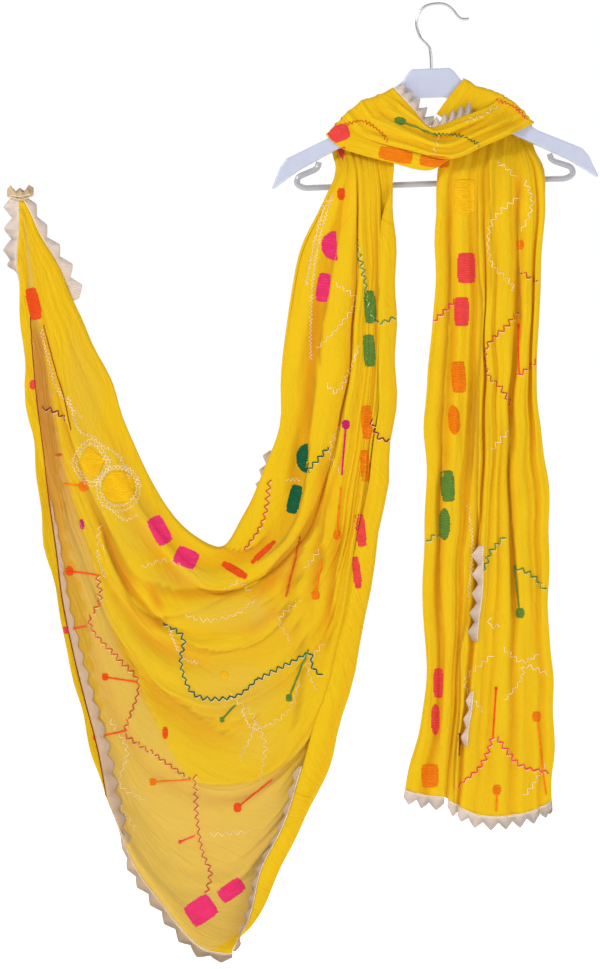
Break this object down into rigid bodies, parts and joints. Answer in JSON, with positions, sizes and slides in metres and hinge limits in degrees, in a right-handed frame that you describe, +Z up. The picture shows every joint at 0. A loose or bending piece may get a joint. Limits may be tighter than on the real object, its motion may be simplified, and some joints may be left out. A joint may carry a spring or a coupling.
{
  "type": "dupatta stole on a hanger",
  "caption": "Sheer dupatta stole with a lace edging, looped round the neck of a plastic hanger, with the right end hanging straight and the left end drawn out sideways in a deep swag.",
  "frame": {"origin": "the seat inside the top of the hanger's hook, where the rail carries it", "axes": "+X to the right as seen from the front, +Y to the back, +Z up"},
  "size_m": [0.7652, 0.0606, 1.2404],
  "materials": {
    "georgette": "sheer yellow georgette with silk and metallic thread embroidery",
    "lace": "beige lace edging with pointed scallops",
    "hanger_plastic": "pale lavender moulded plastic",
    "bar_plastic": "grey ribbed sleeve",
    "hook_steel": "bright wire"
  },
  "bodies": {
    "root": {"stole_cowl": "georgette", "stole_roll": "georgette", "stole_shoulder_right": "georgette", "stole_swag": "georgette", "stole_tail": "georgette", "lace_short_edge": "lace", "lace_long_edge": "lace", "lace_strip": "lace", "lace_corner": "lace", "lace_strand": "lace", "lace_neck_left": "lace", "lace_neck_right": "lace", "lace_hem_left": "lace", "lace_hem_right": "lace", "lace_front_upper": "lace", "lace_front_lower": "lace", "hanger_body": "hanger_plastic", "hanger_bar": "bar_plastic", "hanger_hook": "hook_steel"}
  },
  "joints": []
}
